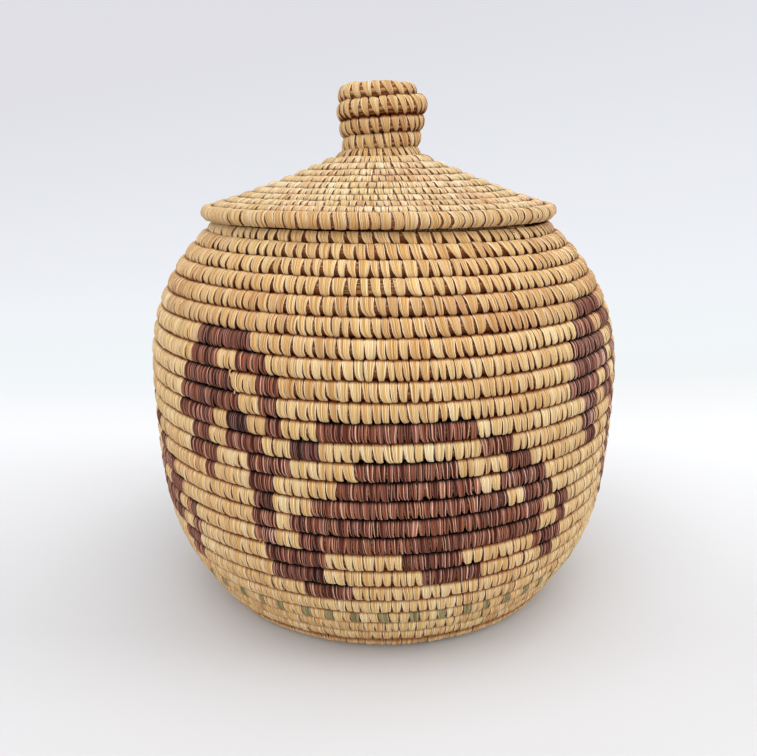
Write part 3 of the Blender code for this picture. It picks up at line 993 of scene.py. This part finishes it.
studio = {
    "floorSize": 4.0,
    "floorShift": -0.8,
    "backdropHeight": 2.0,
    "bend": 0.5,  # how large the curve between floor and backdrop is
    "bendSteps": 16,
    "paperFrom": -0.6,  # in metres behind the basket's middle
    "paperTo": 1.2,
    # the floor's colour is painted paler towards the back, as painted light
    "paper": [(0.0, "#CACBCC"), (0.3, "#CBCBCC"), (0.42, "#E2E3E4")],
    "roughness": 0.9,
    # Painted light seen by the camera further back, darker upwards: from the floor behind the basket to the
    # top of the backdrop
    "glow": [
        (0.13, "#F4F4F4"),
        (0.25, "#F2F7FA"),
        (0.41, "#F0F3F7"),
        (0.55, "#ECEEF3"),
        (0.68, "#E6E8EE"),
        (0.82, "#E0E0E6"),
    ],
    "glowSlant": -0.25,  # its colours lie higher towards the right
    "glowReach": (-0.2, 2.0),  # metres along the floor and up the backdrop, where its colours start and end
    "glowFrom": 0.1,  # metres behind the basket's middle
    "glowTo": 0.34,
    "world": "#FBFBFF",
    "worldStrength": 0.61,
}


def paperMaterial():
    # Matt background paper that takes the basket's shadow, and further back glows with painted light in the
    # tones it showed when lit
    material = bpy.data.materials.new("matteBackgroundPaper")
    material.use_nodes = True
    tree = material.node_tree
    shader = tree.nodes["Principled BSDF"]
    place = addNode(tree, "ShaderNodeTexCoord").outputs["Object"]
    right, back, up = addNode(tree, "ShaderNodeSeparateXYZ", {"Vector": place}).outputs
    depthInputs = {"Value": back, "From Min": studio["paperFrom"], "From Max": studio["paperTo"]}
    depth = addNode(tree, "ShaderNodeMapRange", depthInputs, clamp=True).outputs[0]
    tone = addNode(tree, "ShaderNodeValToRGB", {"Fac": depth})
    setStops(tone, studio["paper"])
    tree.links.new(tone.outputs[0], shader.inputs["Base Color"])
    shader.inputs["Roughness"].default_value = studio["roughness"]
    along = addNode(tree, "ShaderNodeMath", {0: back, 1: up}, operation="ADD").outputs[0]
    slantInputs = {0: right, 1: studio["glowSlant"], 2: along}
    slanted = addNode(tree, "ShaderNodeMath", slantInputs, operation="MULTIPLY_ADD").outputs[0]
    glowLow, glowHigh = studio["glowReach"]
    reachInputs = {"Value": slanted, "From Min": glowLow, "From Max": glowHigh}
    reach = addNode(tree, "ShaderNodeMapRange", reachInputs, clamp=True).outputs[0]
    glowColour = addNode(tree, "ShaderNodeValToRGB", {"Fac": reach})
    setStops(glowColour, studio["glow"])
    glow = addNode(tree, "ShaderNodeEmission", {"Color": glowColour.outputs[0], "Strength": 1.0})
    startInputs = {"Value": along, "From Min": studio["glowFrom"], "From Max": studio["glowTo"]}
    start = addNode(tree, "ShaderNodeMapRange", startInputs, clamp=True, interpolation_type="SMOOTHSTEP")
    rays = addNode(tree, "ShaderNodeLightPath").outputs
    seen = rays["Is Camera Ray"]
    for kind in ("Is Glossy Ray", "Is Transmission Ray"):
        seen = addNode(tree, "ShaderNodeMath", {0: seen, 1: rays[kind]}, operation="MAXIMUM").outputs[0]
    share = addNode(tree, "ShaderNodeMath", {0: seen, 1: start.outputs[0]}, operation="MULTIPLY").outputs[0]
    mixed = addNode(tree, "ShaderNodeMixShader", {0: share, 1: shader.outputs[0], 2: glow.outputs[0]})
    tree.links.new(mixed.outputs[0], tree.nodes["Material Output"].inputs["Surface"])
    return material


def addStudio():
    # A sheet of paper that bends up into a backdrop
    deselectAll()
    bpy.ops.mesh.primitive_plane_add(size=studio["floorSize"])
    floor = bpy.context.object
    floor.name = "paperFloor"
    bpy.ops.object.mode_set(mode="EDIT")
    bpy.ops.mesh.select_mode(type="EDGE")
    bpy.ops.mesh.select_all(action="SELECT")
    bpy.ops.transform.translate(value=(0, studio["floorShift"], 0))
    bpy.ops.mesh.select_all(action="DESELECT")
    bpy.ops.object.mode_set(mode="OBJECT")
    for edge in floor.data.edges:
        edge.select = all(floor.data.vertices[index].co.y > 0 for index in edge.vertices)
    bpy.ops.object.mode_set(mode="EDIT")
    bpy.ops.mesh.extrude_region_move(TRANSFORM_OT_translate={"value": (0, 0, studio["backdropHeight"])})
    bpy.ops.object.mode_set(mode="OBJECT")
    bend = floor.modifiers.new("bend", "BEVEL")
    bend.width = studio["bend"]
    bend.segments = studio["bendSteps"]
    bend.limit_method = "ANGLE"
    bpy.ops.object.modifier_apply(modifier="bend")
    floor.data.shade_smooth()
    floor.data.materials.append(paperMaterial())


lampAim = (0, 0, 0.1)
lamps = {
    "overheadSoftbox": {"place": (0.04, -0.18, 1.1), "size": (1.6, 0.8), "power": 9.6},
    "frontFill": {"place": (-0.1, -1.1, 0.45), "size": (2.8, 0.7), "power": 9.2},
    "leftFill": {"place": (-1.1, -0.15, 0.5), "size": (0.5, 0.8), "power": 1.8},
    "rightFill": {"place": (1.1, -0.15, 0.5), "size": (0.5, 0.8), "power": 4.2},
}


def addLamp(name, lamp):
    light = bpy.data.lights.new(name, "AREA")
    light.shape = "RECTANGLE"
    light.size, light.size_y = lamp["size"]
    light.energy = lamp["power"]
    item = bpy.data.objects.new(name, light)
    item.location = lamp["place"]
    right, back, up = np.array(lampAim) - np.array(lamp["place"])
    item.rotation_euler = (math.pi / 2 + math.atan2(up, math.hypot(right, back)), 0, math.atan2(-right, back))
    bpy.context.scene.collection.objects.link(item)


def addLights():
    world = bpy.data.worlds.new("softRoom")
    bpy.context.scene.world = world
    world.use_nodes = True
    background = world.node_tree.nodes["Background"]
    background.inputs["Color"].default_value = linear(studio["world"])
    background.inputs["Strength"].default_value = studio["worldStrength"]
    for name, lamp in lamps.items():
        addLamp(name, lamp)


view = {
    "distance": 300.5 * mm,  # from the basket's axis, level
    "height": 161.9 * mm,
    "pitch": 15.47,  # degrees down
    "yaw": 0.38,  # degrees to the left
    "lens": 36.43,
    "sensor": 36,
    "nearest": 0.01,
}


def addCamera():
    lens = bpy.data.cameras.new("camera")
    lens.lens = view["lens"]
    lens.sensor_width = view["sensor"]
    lens.clip_start = view["nearest"]
    item = bpy.data.objects.new("camera", lens)
    item.location = (0, -view["distance"], view["height"])
    item.rotation_euler = (math.radians(90 - view["pitch"]), 0, math.radians(view["yaw"]))
    bpy.context.scene.collection.objects.link(item)
    bpy.context.scene.camera = item


addStudio()
addLights()
addCamera()
bpy.context.scene.view_settings.view_transform = "Standard"
say("studio and camera are in place")
